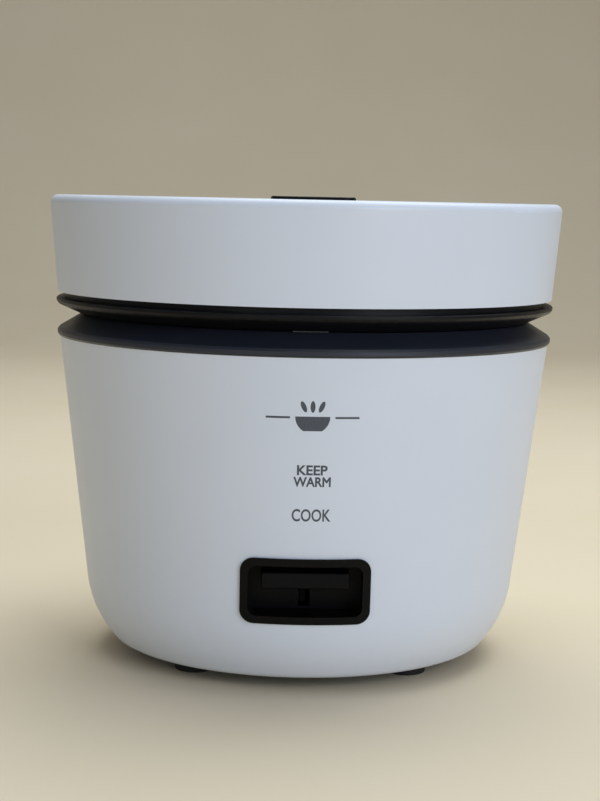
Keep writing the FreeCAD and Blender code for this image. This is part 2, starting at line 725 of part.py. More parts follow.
def make_collar():
    """Black ring on top of the shell: waist slope, outer band, pot ledge, latch slot, hinge lugs."""
    collar = new_body("collar")
    wall = size.collar_wall
    spigot = size.body_top_radius - size.body_wall - size.part_gap
    spigot_low = shell_top - size.collar_spigot
    spigot_taper = size.collar_spigot * wall_slope
    lip = well_radius - 1.0
    turn(collar, [
        (ledge_inner, ledge_top - wall),
        (lip + wall, ledge_top - wall),
        (lip + wall, collar_top - wall),
        (size.waist_radius - 1.6, collar_top - wall),
        (spigot - 2.0, shell_top + 0.6),
        (spigot - 2.0 - spigot_taper, spigot_low),
        (spigot - spigot_taper, spigot_low),
        (spigot, shell_top),
        (size.body_top_radius + 0.3, shell_top),
        (collar_radius, shell_top + 0.8),
        (collar_radius, collar_edge - 0.6),
        (collar_radius - 0.7, collar_edge + 0.3),
        (size.waist_radius, collar_top - 0.4),
        (size.waist_radius - 0.6, collar_top),
        (lip + 0.5, collar_top),
        (lip, collar_top - 0.5),
        (lip, ledge_top),
        (ledge_inner, ledge_top),
    ])
    hinge_y = hinge_back
    hub = size.hinge_hub_radius
    web_in = collar_radius - 7.0
    lug_start = size.knuckle_wide / 2 + size.part_gap * 2

    def web(sketch):
        outline(sketch, [
            (web_in, shell_top + 0.2), (collar_radius + 1.8, shell_top + 0.2),
            (hinge_y + hub * 0.80, hinge_up - hub * 0.60), (hinge_y, hinge_up),
            (hinge_y - hub * 0.80, hinge_up + hub * 0.60), (web_in + 2.5, collar_edge + 1.2),
        ])
    for start in (lug_start, -lug_start - size.lug_wide):
        extrude(collar, "YZ_Plane", start, size.lug_wide, web)
        extrude(collar, "YZ_Plane", start, size.lug_wide, lambda s: circle(
            s, hinge_y, hinge_up, hub))
    extrude(collar, "YZ_Plane", 0.0, (lug_start + size.lug_wide + 2.0) * 2, lambda s: circle(
        s, hinge_y, hinge_up, size.hinge_pin_radius), cut=True, middle=True)
    slot_back = latch_forward - 1.2
    slot_front = latch_forward + size.latch_thick / 2 + 1.0 + 2.6
    extrude(collar, "XY_Plane", collar_top - 4.0, 5.0, lambda s: rectangle(
        s, 0, -(slot_front + slot_back) / 2, size.latch_wide + size.part_gap * 3,
        slot_front - slot_back), cut=True)
    cross_pin("hinge_pin", size.hinge_pin_radius, (lug_start + size.lug_wide) * 2,
              hinge_y, hinge_up, head=size.hinge_pin_radius + 1.0)


def make_control_bezel():
    """Black frame around the front recess, curved with the shell, with the box behind it."""
    bezel = new_body("control_bezel")
    middle = size.recess_height
    border = size.bezel_border * 2
    far = size.body_top_radius + 10.0
    inside = heel_radius - 10.0
    low = middle - size.recess_high
    high = middle + size.recess_high
    back = body_radius(middle) - size.recess_deep
    extrude(bezel, "XZ_Plane", inside, far - inside, lambda s: rounded_rectangle(
        s, 0, middle, size.recess_wide + border, size.recess_high + border,
        size.recess_round + 1.7))
    turn(bezel, [
        (inside - 20.0, low), (body_radius(low) + 0.05, low),
        (body_radius(high) + 0.05, high), (inside - 20.0, high),
    ], cut=True)
    walls = size.bezel_wall * 2
    extrude(bezel, "XZ_Plane", back - size.bezel_wall, far - back, lambda s: rounded_rectangle(
        s, 0, middle, size.recess_wide + walls, size.recess_high + walls, size.recess_round))
    proud = size.bezel_proud
    turn(bezel, [
        (body_radius(low) + proud, low), (far + 20.0, low),
        (far + 20.0, high), (body_radius(high) + proud, high),
    ], cut=True)
    extrude(bezel, "XZ_Plane", back, far - back, lambda s: rounded_rectangle(
        s, 0, middle, size.recess_wide, size.recess_high, size.recess_round), cut=True)
    slot_top = key_middle() + 1.6
    slot_low = middle - size.recess_high / 2 + 0.8
    extrude(bezel, "XZ_Plane", back - size.bezel_wall - 2.0, 6.0, lambda s: rectangle(
        s, 0, (slot_top + slot_low) / 2, size.lever_thick + 2.0, slot_top - slot_low), cut=True)


def key_middle():
    """Height of the lever key's middle at rest."""
    return size.recess_height + size.key_rise


# ---------------------------------------------------------------- lever, switch and thermostat
def key_back():
    """Distance of the lever key's back from the drum's axis."""
    return body_radius(key_middle()) - size.key_setback - size.key_deep


def lever_underside():
    """Both ends, as distance in front and height, of the arm's straight underside at the key."""
    at_key = (key_back() - 9.0, key_middle() - 2.9)
    at_knee = (size.pivot_forward + 7.0, size.pivot_height + 0.5)
    return at_key, at_knee


def make_lever():
    """Pressed-steel lever from the front key to the magnet rod, and its moulded key."""
    arm = new_body("lever_arm")
    pivot_y = -size.pivot_forward
    pivot_z = size.pivot_height
    arm_end = -key_back()
    top = key_middle() - 0.3
    (under, low), (knee, knee_up) = lever_underside()
    tab = size.tab_height
    tab_half = 0.75

    def side(sketch):
        outline(sketch, [
            (arm_end, low), (-under, low), (-knee, knee_up),
            (pivot_y, pivot_z - 3.0), (-7.0, tab - tab_half), (-4.2, tab - tab_half),
            (-4.2, tab + 1.8), (pivot_y + 2.0, pivot_z + 3.4), (arm_end + 11.0, top),
            (arm_end, top),
        ])
    extrude(arm, "YZ_Plane", 0.0, size.lever_thick, side, middle=True)
    hub = size.pivot_pin_radius + 2.3
    extrude(arm, "YZ_Plane", 0.0, 5.6, lambda s: circle(
        s, pivot_y, pivot_z, hub), middle=True)
    extrude(arm, "YZ_Plane", 0.0, 8.0, lambda s: circle(
        s, pivot_y, pivot_z, size.pivot_pin_radius + size.running_gap), cut=True, middle=True)
    extrude(arm, "XY_Plane", tab - tab_half, 2 * tab_half, lambda s: outline(
        s, [(-6, -7), (6, -7), (6, 2.6), (1.9, 2.6), (1.9, -2.3), (-1.9, -2.3), (-1.9, 2.6),
            (-6, 2.6)]))
    key = new_body("cook_key")
    extrude(key, "XZ_Plane", key_back(), size.key_deep, lambda s: rounded_rectangle(
        s, 0, key_middle(), size.key_wide, size.key_high, 0.8))
    round_face(key, Vector(0, -1, 0), 0.7)


def make_lever_bracket():
    """Folded steel bracket that hangs the lever from the liner's floor, and its pin."""
    bracket = new_body("lever_bracket")
    pivot_y = -size.pivot_forward
    steel = 1.2
    cheek_in = 3.0
    extrude(bracket, "XY_Plane", liner_floor - steel, steel, lambda s: rectangle(
        s, 0, pivot_y, 26.0, 10.0))
    cheek_low = size.pivot_height - 4.0
    cheek_top = liner_floor - steel / 2

    def cheek(sketch):
        rectangle(sketch, pivot_y, (cheek_low + cheek_top) / 2, 10.0,
                  cheek_top - cheek_low)
    for start in (cheek_in, -cheek_in - steel):
        extrude(bracket, "YZ_Plane", start, steel, cheek)
    extrude(bracket, "YZ_Plane", 0.0, 12.0, lambda s: circle(
        s, pivot_y, size.pivot_height, size.pivot_pin_radius), cut=True, middle=True)
    holes = bracket_screw_places()
    round_holes(bracket, holes, size.screw_radius + 0.2, liner_floor - steel - 1.0,
                liner_floor + 1.0)
    cross_pin("lever_pin", size.pivot_pin_radius, 9.4, pivot_y, size.pivot_height,
              head=size.pivot_pin_radius + 0.9)
    screws = new_body("bracket_screws")
    upright_stack(screws, holes, [
        (size.head_radius, liner_floor - steel - size.head_high, liner_floor - steel),
        (size.screw_radius, liner_floor - steel - 0.5, liner_floor + size.sheet_metal + 0.6),
    ])


def make_switch():
    """Micro switch under the lever arm, and its plunger."""
    switch = new_body("micro_switch")
    top = size.pivot_height - 1.0
    low = top - size.switch_high
    middle = 1.0 - size.switch_forward
    extrude(switch, "XY_Plane", low, size.switch_high, lambda s: rectangle(
        s, 0, middle, size.switch_wide, size.switch_long))
    bore = 1.3
    round_holes(switch, [(0, -size.switch_forward)], bore, low + 1.5, top + 1.0)
    for offset in (-7.0, 0.0, 7.0):
        extrude(switch, "XY_Plane", low - 5.0, 5.5, lambda s: rectangle(
            s, 0, middle + offset, 3.0, 0.6))
    plunger = new_body("switch_plunger")
    stem = bore - 0.08
    (far, far_up), (near, near_up) = lever_underside()
    arm_over = near_up + (size.switch_forward - stem - near) * (far_up - near_up) / (far - near)
    stem_low = low + 4.9
    extrude(plunger, "XY_Plane", stem_low, arm_over - 0.6 - stem_low, lambda s: circle(
        s, 0, -size.switch_forward, stem))
    pedestal = new_body("switch_holder")
    extrude(pedestal, "XY_Plane", floor_top, low + 4.0 - floor_top, lambda s: rectangle(
        s, 0, middle, size.switch_wide + 4.4, size.switch_long + 4.0))
    extrude(pedestal, "XY_Plane", floor_top + 2.0, low + 3.0 - floor_top, lambda s: rectangle(
        s, 0, middle, size.switch_wide, size.switch_long), cut=True)


def make_thermostat():
    """Sprung sensor cap, sensing ring, magnet, rod and the sleeve that guides them."""
    cap_top = size.pot_floor_height - 0.2
    cap_under = cap_top - 1.2
    cap_low = cap_top - 4.6
    sleeve_top = cap_under - size.sensor_travel - 0.2
    sleeve_low = liner_floor - size.sleeve_length + 6.0
    cap = new_body("sensor_cap")
    inner = sleeve_radius + size.part_gap
    turn(cap, [(inner, cap_low), (sensor_radius, cap_low), (sensor_radius, cap_top),
               (0, cap_top), (0, cap_under), (inner, cap_under)])
    hole = size.magnet_radius / 2
    ring = new_body("sensing_ring")
    ring_low = cap_under - 4.0
    turn(ring, band(hole, size.magnet_radius, ring_low, cap_under))
    sleeve = new_body("thermostat_sleeve")
    sleeve_in = sleeve_radius - size.sleeve_wall
    flange = sleeve_radius + 5.5
    floor_hole = size.rod_radius + size.part_gap
    turn(sleeve, [
        (floor_hole, sleeve_low), (sleeve_radius, sleeve_low),
        (sleeve_radius, liner_floor - 1.2), (flange, liner_floor - 1.2),
        (flange, liner_floor), (sleeve_radius, liner_floor),
        (sleeve_radius, sleeve_top), (sleeve_in, sleeve_top),
        (sleeve_in, sleeve_low + 1.2), (floor_hole, sleeve_low + 1.2),
    ])
    magnet_top = ring_low - size.sensor_travel - size.magnet_lift - 0.3
    magnet_low = magnet_top - size.magnet_thick
    magnet = new_body("magnet_ring")
    turn(magnet, band(hole, size.magnet_radius, magnet_low, magnet_top))
    rod = new_body("magnet_rod")
    rod_top = magnet_low + 2.0
    tab_over = size.tab_height + 0.75 + 0.7
    tab_under = size.tab_height - 0.75 - 0.7
    turn(rod, [
        (0, tab_under - 1.2), (3.4, tab_under - 1.2), (3.4, tab_under), (1.5, tab_under),
        (1.5, tab_over), (3.4, tab_over), (3.4, tab_over + 1.2),
        (size.rod_radius, tab_over + 1.2), (size.rod_radius, magnet_low - 1.2),
        (size.magnet_radius - 1.0, magnet_low - 1.2), (size.magnet_radius - 1.0, magnet_low),
        (hole - 0.3, magnet_low), (hole - 0.3, rod_top), (0, rod_top),
    ])
    coil_spring("release_spring", number(hole) - 1.4, 0.35, rod_top, cap_under, 5)
    coil_spring("sensor_spring", number(sleeve_radius) + 0.75, 0.4, liner_floor, cap_low, 2)


# ---------------------------------------------------------------- pot, liner and heating plate
def make_pot():
    """Non-stick aluminium pot with a rolled rim and a rounded bottom corner."""
    pot = new_body("inner_pot")
    wall = size.pot_wall
    low = size.pot_floor_height
    corner = size.pot_corner
    rim_top = ledge_top + wall
    turn(pot, [
        (0, low), (size.pot_radius - corner, low), (size.pot_radius, low + corner),
        (size.pot_radius, ledge_top), (pot_rim_radius, ledge_top),
        (pot_rim_radius, rim_top), (size.pot_radius - wall, rim_top),
        (size.pot_radius - wall, low + corner), (size.pot_radius - corner, low + wall),
        (0, low + wall),
    ], arcs=(1, 7))


def make_liner():
    """Sheet-metal liner hung from the collar, with holes for the heater's fittings."""
    liner = new_body("inner_liner")
    metal = size.sheet_metal
    rim = ledge_top - size.collar_wall
    radius = liner_radius
    turn(liner, [
        (sensor_radius + 1.6, liner_floor), (radius - 6.0, liner_floor),
        (radius + metal, liner_floor + 6.0 + metal), (radius + metal, rim - metal),
        (radius + 3.6, rim - metal), (radius + 3.6, rim), (radius, rim),
        (radius, liner_floor + 6.0 + metal), (radius - 6.0, liner_floor + metal),
        (sensor_radius + 1.6, liner_floor + metal),
    ], arcs=(1, 7))
    holes = heater_screw_places() + post_places() + bracket_screw_places()
    round_holes(liner, holes, size.screw_radius + 0.3, liner_floor - 1.0, liner_floor + 2.0)
    round_holes(liner, terminal_places(), 5.0, liner_floor - 1.0, liner_floor + 2.0)
    return liner


def bracket_screw_places():
    """Places of the screws that hold the lever bracket to the liner."""
    return [(9.5, -size.pivot_forward), (-9.5, -size.pivot_forward)]


def heater_screw_places():
    """Places of the screws that hold the heating plate to the liner."""
    return ring_of_places(heater_screw_circle, 3, 90)


def post_places():
    """Places of the chassis posts between the liner and the bottom cover."""
    return ring_of_places(size.post_circle, 3, 90)


def terminal_places():
    """Places of the heating element's two ends."""
    return [(element_circle, 8.0), (-element_circle, 8.0)]


def make_heater():
    """Cast aluminium heating plate with its element ends, screws and spacers."""
    plate = new_body("heating_plate")
    top = size.pot_floor_height
    hole = sensor_radius + 0.9
    ridge = plate_low - size.element_ridge
    turn(plate, [
        (hole, plate_low), (element_circle - 6.0, plate_low), (element_circle - 4.0, ridge),
        (element_circle + 4.0, ridge), (element_circle + 6.0, plate_low),
        (plate_radius, plate_low), (plate_radius, top - 3.0),
        (plate_radius - 4.0, top), (hole, top),
    ])
    places = heater_screw_places()
    round_holes(plate, places, size.screw_radius + size.running_gap, plate_low - 1.0,
                plate_low + 4.5)
    floor_up = liner_floor + size.sheet_metal
    screws = new_body("heater_screws")
    upright_stack(screws, places, [
        (size.head_radius, liner_floor - size.head_high, liner_floor),
        (size.screw_radius, liner_floor - 0.5, plate_low + 4.0),
    ])
    spacers = new_body("plate_spacers")
    upright_stack(spacers, places, [(size.head_radius, floor_up, plate_low)])
    round_holes(spacers, places, size.screw_radius + size.running_gap, floor_up - 1.0,
                plate_low + 1.0)
    ends = new_body("element_terminals")
    upright_stack(ends, terminal_places(), [
        (3.2, liner_floor - 2.0, ridge),
        (1.6, liner_floor - 8.0, liner_floor - 1.0),
    ])


def make_safety_parts():
    """Keep-warm thermostat and thermal fuse, both held under the liner's floor."""
    warm = new_body("keep_warm_thermostat")
    turn(warm, [
        (0, liner_floor - 6.0), (7.0, liner_floor - 6.0), (7.0, liner_floor - 3.5),
        (8.5, liner_floor - 3.5), (8.5, liner_floor), (0, liner_floor),
    ])
    place(warm, across=30.0, back=26.0)
    fuse = new_body("thermal_fuse")
    fuse_z = liner_floor - 3.4
    extrude(fuse, "YZ_Plane", 0.0, 14.0, lambda s: circle(
        s, 0, fuse_z, 2.2), middle=True)
    extrude(fuse, "YZ_Plane", 0.0, 24.0, lambda s: circle(
        s, 0, fuse_z, 0.6), middle=True)
    place(fuse, across=-30.0, back=26.0)
    strap = new_body("fuse_strap")

    def saddle(sketch):
        outline(sketch, [
            (-7.0, liner_floor - 0.6), (-3.2, liner_floor - 0.6), (-3.2, fuse_z - 3.0),
            (3.2, fuse_z - 3.0), (3.2, liner_floor - 0.6), (7.0, liner_floor - 0.6),
            (7.0, liner_floor), (2.5, liner_floor), (2.5, fuse_z - 2.4), (-2.5, fuse_z - 2.4),
            (-2.5, liner_floor), (-7.0, liner_floor),
        ])
    extrude(strap, "YZ_Plane", 0.0, 6.0, saddle, middle=True)
    place(strap, across=-30.0, back=26.0)


# ---------------------------------------------------------------- lamps, inlet and bottom
def make_lamps():
    """Two neon lamps in a holder behind the front wall of the shell."""
    holder = new_body("lamp_holder")
    front = body_radius(size.lamp_low) - size.body_wall - 1.0
    back = liner_outer + 1.0
    heights = (size.lamp_low, size.lamp_high)
    span = size.lamp_high - size.lamp_low
    extrude(holder, "XZ_Plane", back, 2.0, lambda s: rounded_rectangle(
        s, 0, (size.lamp_low + size.lamp_high) / 2, 12.0, span + 12.0,
        3.0))
    for up in heights:
        extrude(holder, "XZ_Plane", back, front - back - 1.0, lambda s: circle(
            s, 0, up, size.lamp_radius + 1.2))
        extrude(holder, "XZ_Plane", back - 1.0, front - back + 2.0, lambda s: circle(
            s, 0, up, size.lamp_radius + size.running_gap), cut=True)
    lamps = new_body("indicator_lamps")
    lamps.AllowCompound = True

    def bulbs(sketch):
        for up in heights:
            circle(sketch, 0, up, size.lamp_radius)
    extrude(lamps, "XZ_Plane", back + 0.5, front - back - 0.5, bulbs)


def make_power_inlet():
    """Three-pin power inlet at the back: its boss fills the shell's cut-out, with three pins."""
    inlet = new_body("power_inlet")
    up = size.inlet_height
    face = body_radius(up) + 1.0
    back = face - size.inlet_deep
    wide, high = size.inlet_wide, size.inlet_high
    extrude(inlet, "XZ_Plane", -face, size.inlet_deep - 6.0, lambda s: rounded_rectangle(
        s, 0, up, wide + size.inlet_border, high + size.inlet_border, size.recess_round))
    extrude(inlet, "XZ_Plane", -face + 2.0, size.inlet_deep - 2.0, lambda s: rectangle(
        s, 0, up, wide, high))
    side = wide / 2 - size.inlet_wall
    low = up - high / 2 + size.inlet_wall
    top = up + high / 2 - size.inlet_wall
    slant = 4.5
    extrude(inlet, "XZ_Plane", -face - 1.0, size.inlet_deep - 2.0, lambda s: outline(s, [
        (-side, low), (side, low), (side, top - slant), (side - slant, top),
        (slant - side, top), (-side, top - slant)]), cut=True)
    pins = new_body("inlet_pins")
    pins.AllowCompound = True
    places = [(-7.0, up - 1.8), (7.0, up - 1.8), (0.0, up + 3.0)]

    def blades(sketch):
        for across, middle in places:
            rectangle(sketch, across, middle, 2.0, 4.0)
    extrude(inlet, "XZ_Plane", -back - 4.0, 8.0, blades, cut=True)
    extrude(pins, "XZ_Plane", -face + 4.5, size.inlet_deep + 1.0, blades)


def make_bottom():
    """Vented bottom cover with its screws, feet and the posts that tie it to the liner."""
    cover = new_body("bottom_cover")
    inner = foot_opening - size.part_gap
    rim = foot_opening + size.floor_flange * 2
    turn(cover, [
        (0, floor_low), (rim, floor_low), (rim, size.shell_foot_height),
        (inner, size.shell_foot_height), (inner, floor_top), (0, floor_top),
    ])
    low, high = floor_low - 1.0, floor_top + 1.0

    def vents(sketch):
        for across in range(-24, 25, 8):
            rounded_rectangle(sketch, across, 18.0,
                              3.0, 26.0, 1.4)
    extrude(cover, "XY_Plane", low, high - low, vents, cut=True)
    screw_places = post_places()
    foot_places = ring_of_places(foot_circle, 4, 45)
    round_holes(cover, screw_places, size.screw_radius + 0.3, low, high)
    round_holes(cover, foot_places, 2.6, low, high)
    screws = new_body("bottom_screws")
    upright_stack(screws, screw_places, [
        (size.head_radius, floor_low - size.head_high, floor_low),
        (size.screw_radius, floor_low - 0.5, floor_top + 8.0),
    ])
    posts = new_body("chassis_posts")
    upright_stack(posts, screw_places, [(size.post_radius, floor_top, liner_floor)])
    round_holes(posts, screw_places, size.screw_radius + size.running_gap, floor_top - 1.0,
                liner_floor + 1.0)
    top_screws = new_body("liner_screws")
    upright_stack(top_screws, screw_places, [
        (size.screw_radius, liner_floor - 8.0, liner_floor + size.sheet_metal),
        (size.head_radius - 0.4, liner_floor + size.sheet_metal,
         liner_floor + size.sheet_metal + 0.9),
    ])
    feet = new_body("rubber_feet")
    upright_stack(feet, foot_places, [
        (size.foot_radius, 0.0, floor_low),
        (2.5, floor_low - 0.5, floor_top),
        (3.6, floor_top, floor_top + 1.2),
    ])


make_lid_cover()
make_lid_base()
make_inner_lid()
make_steam_vent()
make_lid_button()
make_latch()
make_lid_screws()
make_body_shell()
make_collar()
make_control_bezel()
make_lever()
make_lever_bracket()
make_switch()
make_thermostat()
make_pot()
make_liner()
make_heater()
make_safety_parts()
make_lamps()
make_power_inlet()
make_bottom()
doc.recompute()


# ---------------------------------------------------------------- checks and export
for thing in doc.Objects:
    failed = [word for word in thing.State if word in ("Invalid", "Error")]
    if failed:
        raise RuntimeError("%s is %s" % (thing.Name, failed[0]))
    if thing.TypeId in ("PartDesign::Pocket", "PartDesign::Groove"):
        removed = thing.BaseFeature.Shape.Volume - thing.Shape.Volume
        if removed < 0.01:
            raise RuntimeError("%s cuts nothing" % thing.Name)

os.makedirs("parts", exist_ok=True)
for sub_part in sub_parts:
    shape = sub_part.Shape
    if shape.isNull() or not shape.isValid() or not shape.Solids:
        raise RuntimeError("%s has no sound shape" % sub_part.Label)
    shape.exportStep("parts/%s.step" % sub_part.Label)
print("%d sub-parts written" % len(sub_parts))
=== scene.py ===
"""A small drum-shaped rice cooker in its studio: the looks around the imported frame."""
import math

import bmesh
import bpy
from mathutils import Matrix, Vector


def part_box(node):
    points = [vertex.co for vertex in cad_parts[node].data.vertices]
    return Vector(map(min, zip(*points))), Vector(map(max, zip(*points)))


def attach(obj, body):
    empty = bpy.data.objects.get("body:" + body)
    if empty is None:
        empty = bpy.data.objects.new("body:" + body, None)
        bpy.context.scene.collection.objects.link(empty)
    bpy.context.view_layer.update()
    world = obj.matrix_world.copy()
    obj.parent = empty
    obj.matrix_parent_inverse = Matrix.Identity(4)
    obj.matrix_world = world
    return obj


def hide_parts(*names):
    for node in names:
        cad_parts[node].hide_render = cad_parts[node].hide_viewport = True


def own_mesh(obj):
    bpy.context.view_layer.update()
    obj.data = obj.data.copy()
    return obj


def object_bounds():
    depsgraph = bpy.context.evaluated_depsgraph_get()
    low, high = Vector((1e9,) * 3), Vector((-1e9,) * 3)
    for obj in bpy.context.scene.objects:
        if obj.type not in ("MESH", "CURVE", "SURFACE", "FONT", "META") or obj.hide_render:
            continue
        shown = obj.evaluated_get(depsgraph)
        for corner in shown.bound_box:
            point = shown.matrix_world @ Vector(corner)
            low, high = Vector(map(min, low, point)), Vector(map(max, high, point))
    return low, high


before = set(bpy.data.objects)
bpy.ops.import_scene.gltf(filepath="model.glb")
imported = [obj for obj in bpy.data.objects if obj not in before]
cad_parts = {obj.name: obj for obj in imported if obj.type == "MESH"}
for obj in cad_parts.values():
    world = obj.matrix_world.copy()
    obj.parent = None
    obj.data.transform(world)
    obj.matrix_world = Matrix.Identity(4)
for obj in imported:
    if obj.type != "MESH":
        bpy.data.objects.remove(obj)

cad_low, cad_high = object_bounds()
cover_low, cover_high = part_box("lid_cover")
drum_axis = Vector(((cover_low.x + cover_high.x) / 2, (cover_low.y + cover_high.y) / 2, 0))
mm = 0.001


# Camera. It stands two thirds of a metre in front of the drum, level with the lid's top and a
# touch to the left, and looks down on the lever. It is held by hand, so it leans a little.
view = bpy.data.cameras.new("camera")
view.sensor_width = 36.0  # mm
view.lens = 79.06  # mm
eye = bpy.data.objects.new("camera", view)
bpy.context.scene.collection.objects.link(eye)
bpy.context.scene.camera = eye
round_the_drum, aside, down, lean_over = -1.63, 0.08, 6.55, 1.2  # degrees
stand_off, above_lid = 663.7 * mm, 0.3 * mm
turned = math.radians(round_the_drum)
eye.location = drum_axis + Vector((stand_off * math.sin(turned), -stand_off * math.cos(turned),
                                   cover_high.z + above_lid))
aim = Matrix.Rotation(turned + math.radians(aside), 4, "Z")
tip = Matrix.Rotation(math.radians(90 - down), 4, "X")
lean = Matrix.Rotation(math.radians(lean_over), 4, "Z")
eye.rotation_euler = (aim @ tip @ lean).to_euler()


# Light. A pale room, a large window-like lamp to the right and in front, a lamp overhead that
# draws the bright line on the lid's edge, and a weak low one in front on the left.
room_colour, room_strength = (0.56, 0.63, 0.74, 1.0), 0.29
world = bpy.data.worlds.new("pale_room")
world.use_nodes = True
room = world.node_tree.nodes["Background"]
room.inputs["Color"].default_value = room_colour
room.inputs["Strength"].default_value = room_strength
bpy.context.scene.world = world
bpy.context.scene.view_settings.view_transform = "Standard"
drum_middle = Vector((0, 0, 0.09))
for name, place, wide, watts, colour in (
    ("window", (0.90, -1.35, 0.55), 0.8, 11.0, (0.75, 0.84, 1.0)),
    ("overhead", (0.15, 0.30, 1.30), 1.2, 17.0, (0.90, 0.96, 1.0)),
    ("left_fill", (-0.60, -1.50, 0.30), 0.8, 1.8, (0.86, 0.92, 1.0)),
):
    lamp = bpy.data.lights.new(name, "AREA")
    lamp.shape = "SQUARE"
    lamp.size = wide
    lamp.energy = watts
    lamp.color = colour
    holder = bpy.data.objects.new(name, lamp)
    holder.location = place
    to_cooker = drum_middle - Vector(place)
    holder.rotation_euler = to_cooker.to_track_quat("-Z", "Y").to_euler()
    bpy.context.scene.collection.objects.link(holder)


# Floor. A plain pale sweep of painted board that lies flat under the cooker, bends up some way
# behind it and stands as a wall. The paint was rolled on, so it is matt and faintly cloudy.
def linear(shade):
    """An sRGB hex value as the linear colour that a socket takes."""
    parts = [int(shade[i:i + 2], 16) / 255 for i in (1, 3, 5)]
    return [p / 12.92 if p < 0.04045 else ((p + 0.055) / 1.055) ** 2.4 for p in parts] + [1.0]


def plug(node, sockets):
    """Sets each socket to its value, or links it where it is given another node's output."""
    for name, value in sockets.items():
        if isinstance(value, bpy.types.NodeSocket):
            node.id_data.links.new(value, node.inputs[name])
        else:
            node.inputs[name].default_value = value


def add(material, kind, sockets, **settings):
    """Adds one node with its settings and links, and gives its outputs."""
    node = material.node_tree.nodes.new("ShaderNode" + kind)
    for name, value in settings.items():
        setattr(node, name, value)
    plug(node, sockets)
    return node.outputs


def new_finish(name, constants):
    """A material, its shader with its constant sockets set, and the place on the piece."""
    material = bpy.data.materials.new(name)
    material.use_nodes = True
    shader = material.node_tree.nodes["Principled BSDF"]
    plug(shader, constants)
    return material, shader, add(material, "TexCoord", {})["Object"]


half_wide, in_front, behind, bend, wall = 4.0, 4.0, 1.3, 0.7, 3.0  # metres
sweep = bmesh.new()
low_edge = [sweep.verts.new((-half_wide, y, 0)) for y in (-in_front, behind)]
sweep.edges.new(low_edge)
bmesh.ops.spin(sweep, geom=[low_edge[1]], cent=(0, behind, bend), axis=(1, 0, 0),
               angle=math.pi / 2, steps=16)
sweep.verts.ensure_lookup_table()
rise = sweep.verts[-1]
bmesh.ops.extrude_vert_indiv(sweep, verts=[rise])
sweep.verts.ensure_lookup_table()
sweep.verts[-1].co.z += wall
across = bmesh.ops.extrude_edge_only(sweep, edges=sweep.edges[:])
bmesh.ops.translate(sweep, vec=(2 * half_wide, 0, 0),
                    verts=[v for v in across["geom"] if isinstance(v, bmesh.types.BMVert)])
bmesh.ops.recalc_face_normals(sweep, faces=sweep.faces)
floor_mesh = bpy.data.meshes.new("floor")
sweep.to_mesh(floor_mesh)
sweep.free()
floor_mesh.shade_smooth()
floor = bpy.data.objects.new("floor", floor_mesh)
bpy.context.scene.collection.objects.link(floor)
board, shader, spot = new_finish("painted_board", {"Specular IOR Level": 0.2})
cloudy = add(board, "TexNoise", {"Vector": spot, "Scale": 6.0, "Detail": 3.0})
plug(shader, {
    "Base Color": add(board, "Mix", {0: cloudy["Fac"], 6: linear("#e6d5b6"), 7: linear("#ecdec4")},
                      data_type="RGBA")[2],
    "Roughness": 0.7})
floor_mesh.materials.append(board)


# Body shell. One tapered drum of injection-moulded polypropylene, open at both ends, with a
# large round heel; the mould's fine spark grain leaves it half matt. A few dark specks of
# burnt resin sit in the skin, as they do on cheap white mouldings.
def per_metre(size):
    """The scale of a pattern whose features are this many mm apart."""
    return 1000 / size


def coat(material, *names):
    """CAD pieces take a finish in all of their material slots."""
    for name in names:
        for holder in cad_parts[name].material_slots:
            holder.material = material


def moulded_plastic(name, dark, light, rough, grain, depth, speck=None, shine=0.5):
    """Two near shades in broad cloudy patches, under the fine grain of the mould, both in mm."""
    material, shader, spot = new_finish(name, {"IOR": 1.49, "Specular IOR Level": shine})
    patches = add(material, "TexNoise", {"Vector": spot, "Scale": per_metre(45), "Detail": 3.0})
    shade = add(material, "Mix", {0: patches["Fac"], 6: linear(dark), 7: linear(light)},
                data_type="RGBA")[2]
    if speck:
        # one cell in seven has a speck; its radius is given as a share of the cell's 16 mm
        cell_size, speck_radius, without = 16, 0.016, 0.86
        cells = add(material, "TexVoronoi", {"Vector": spot, "Scale": per_metre(cell_size)})
        near = add(material, "Math", {0: cells["Distance"], 1: speck_radius},
                   operation="LESS_THAN")[0]
        chance = add(material, "SeparateColor", {"Color": cells["Color"]})["Red"]
        rare = add(material, "Math", {0: chance, 1: without}, operation="GREATER_THAN")[0]
        both = add(material, "Math", {0: near, 1: rare}, operation="MULTIPLY")[0]
        shade = add(material, "Mix", {0: both, 6: shade, 7: linear(speck)}, data_type="RGBA")[2]
    rub = add(material, "TexNoise", {"Vector": spot, "Scale": per_metre(9), "Detail": 4.0})
    uneven = 0.035
    gloss = add(material, "MapRange", {"Value": rub["Fac"], "From Min": 0.3, "From Max": 0.7,
                                       "To Min": rough - uneven, "To Max": rough + uneven})[0]
    skin = add(material, "TexNoise", {"Vector": spot, "Scale": per_metre(grain), "Detail": 2.0})
    relief = add(material, "Bump", {"Height": skin["Fac"], "Strength": 0.5,
                                    "Distance": depth * mm})["Normal"]
    plug(shader, {"Base Color": shade, "Roughness": gloss, "Normal": relief})
    return material


# White polypropylene: milky, half matt, cool in daylight. The real grain is 0.15 mm and the
# burnt specks are 0.3 mm; both are drawn at 0.5 mm so that they show.
white_polypropylene = moulded_plastic("white_polypropylene", "#d9dfe9", "#e0e5ee", 0.40,
                                      0.5, 0.012, speck="#2c2c30")
coat(white_polypropylene, "body_shell")


# Words and emblem on the body. One pass of dark grey pad printing, a few hundredths of a
# millimetre thick: the two states of the lever, and over them a plain bowl with three grains
# between two dashes.
ink_clear, ink_thick = 0.015 * mm, 0.02 * mm


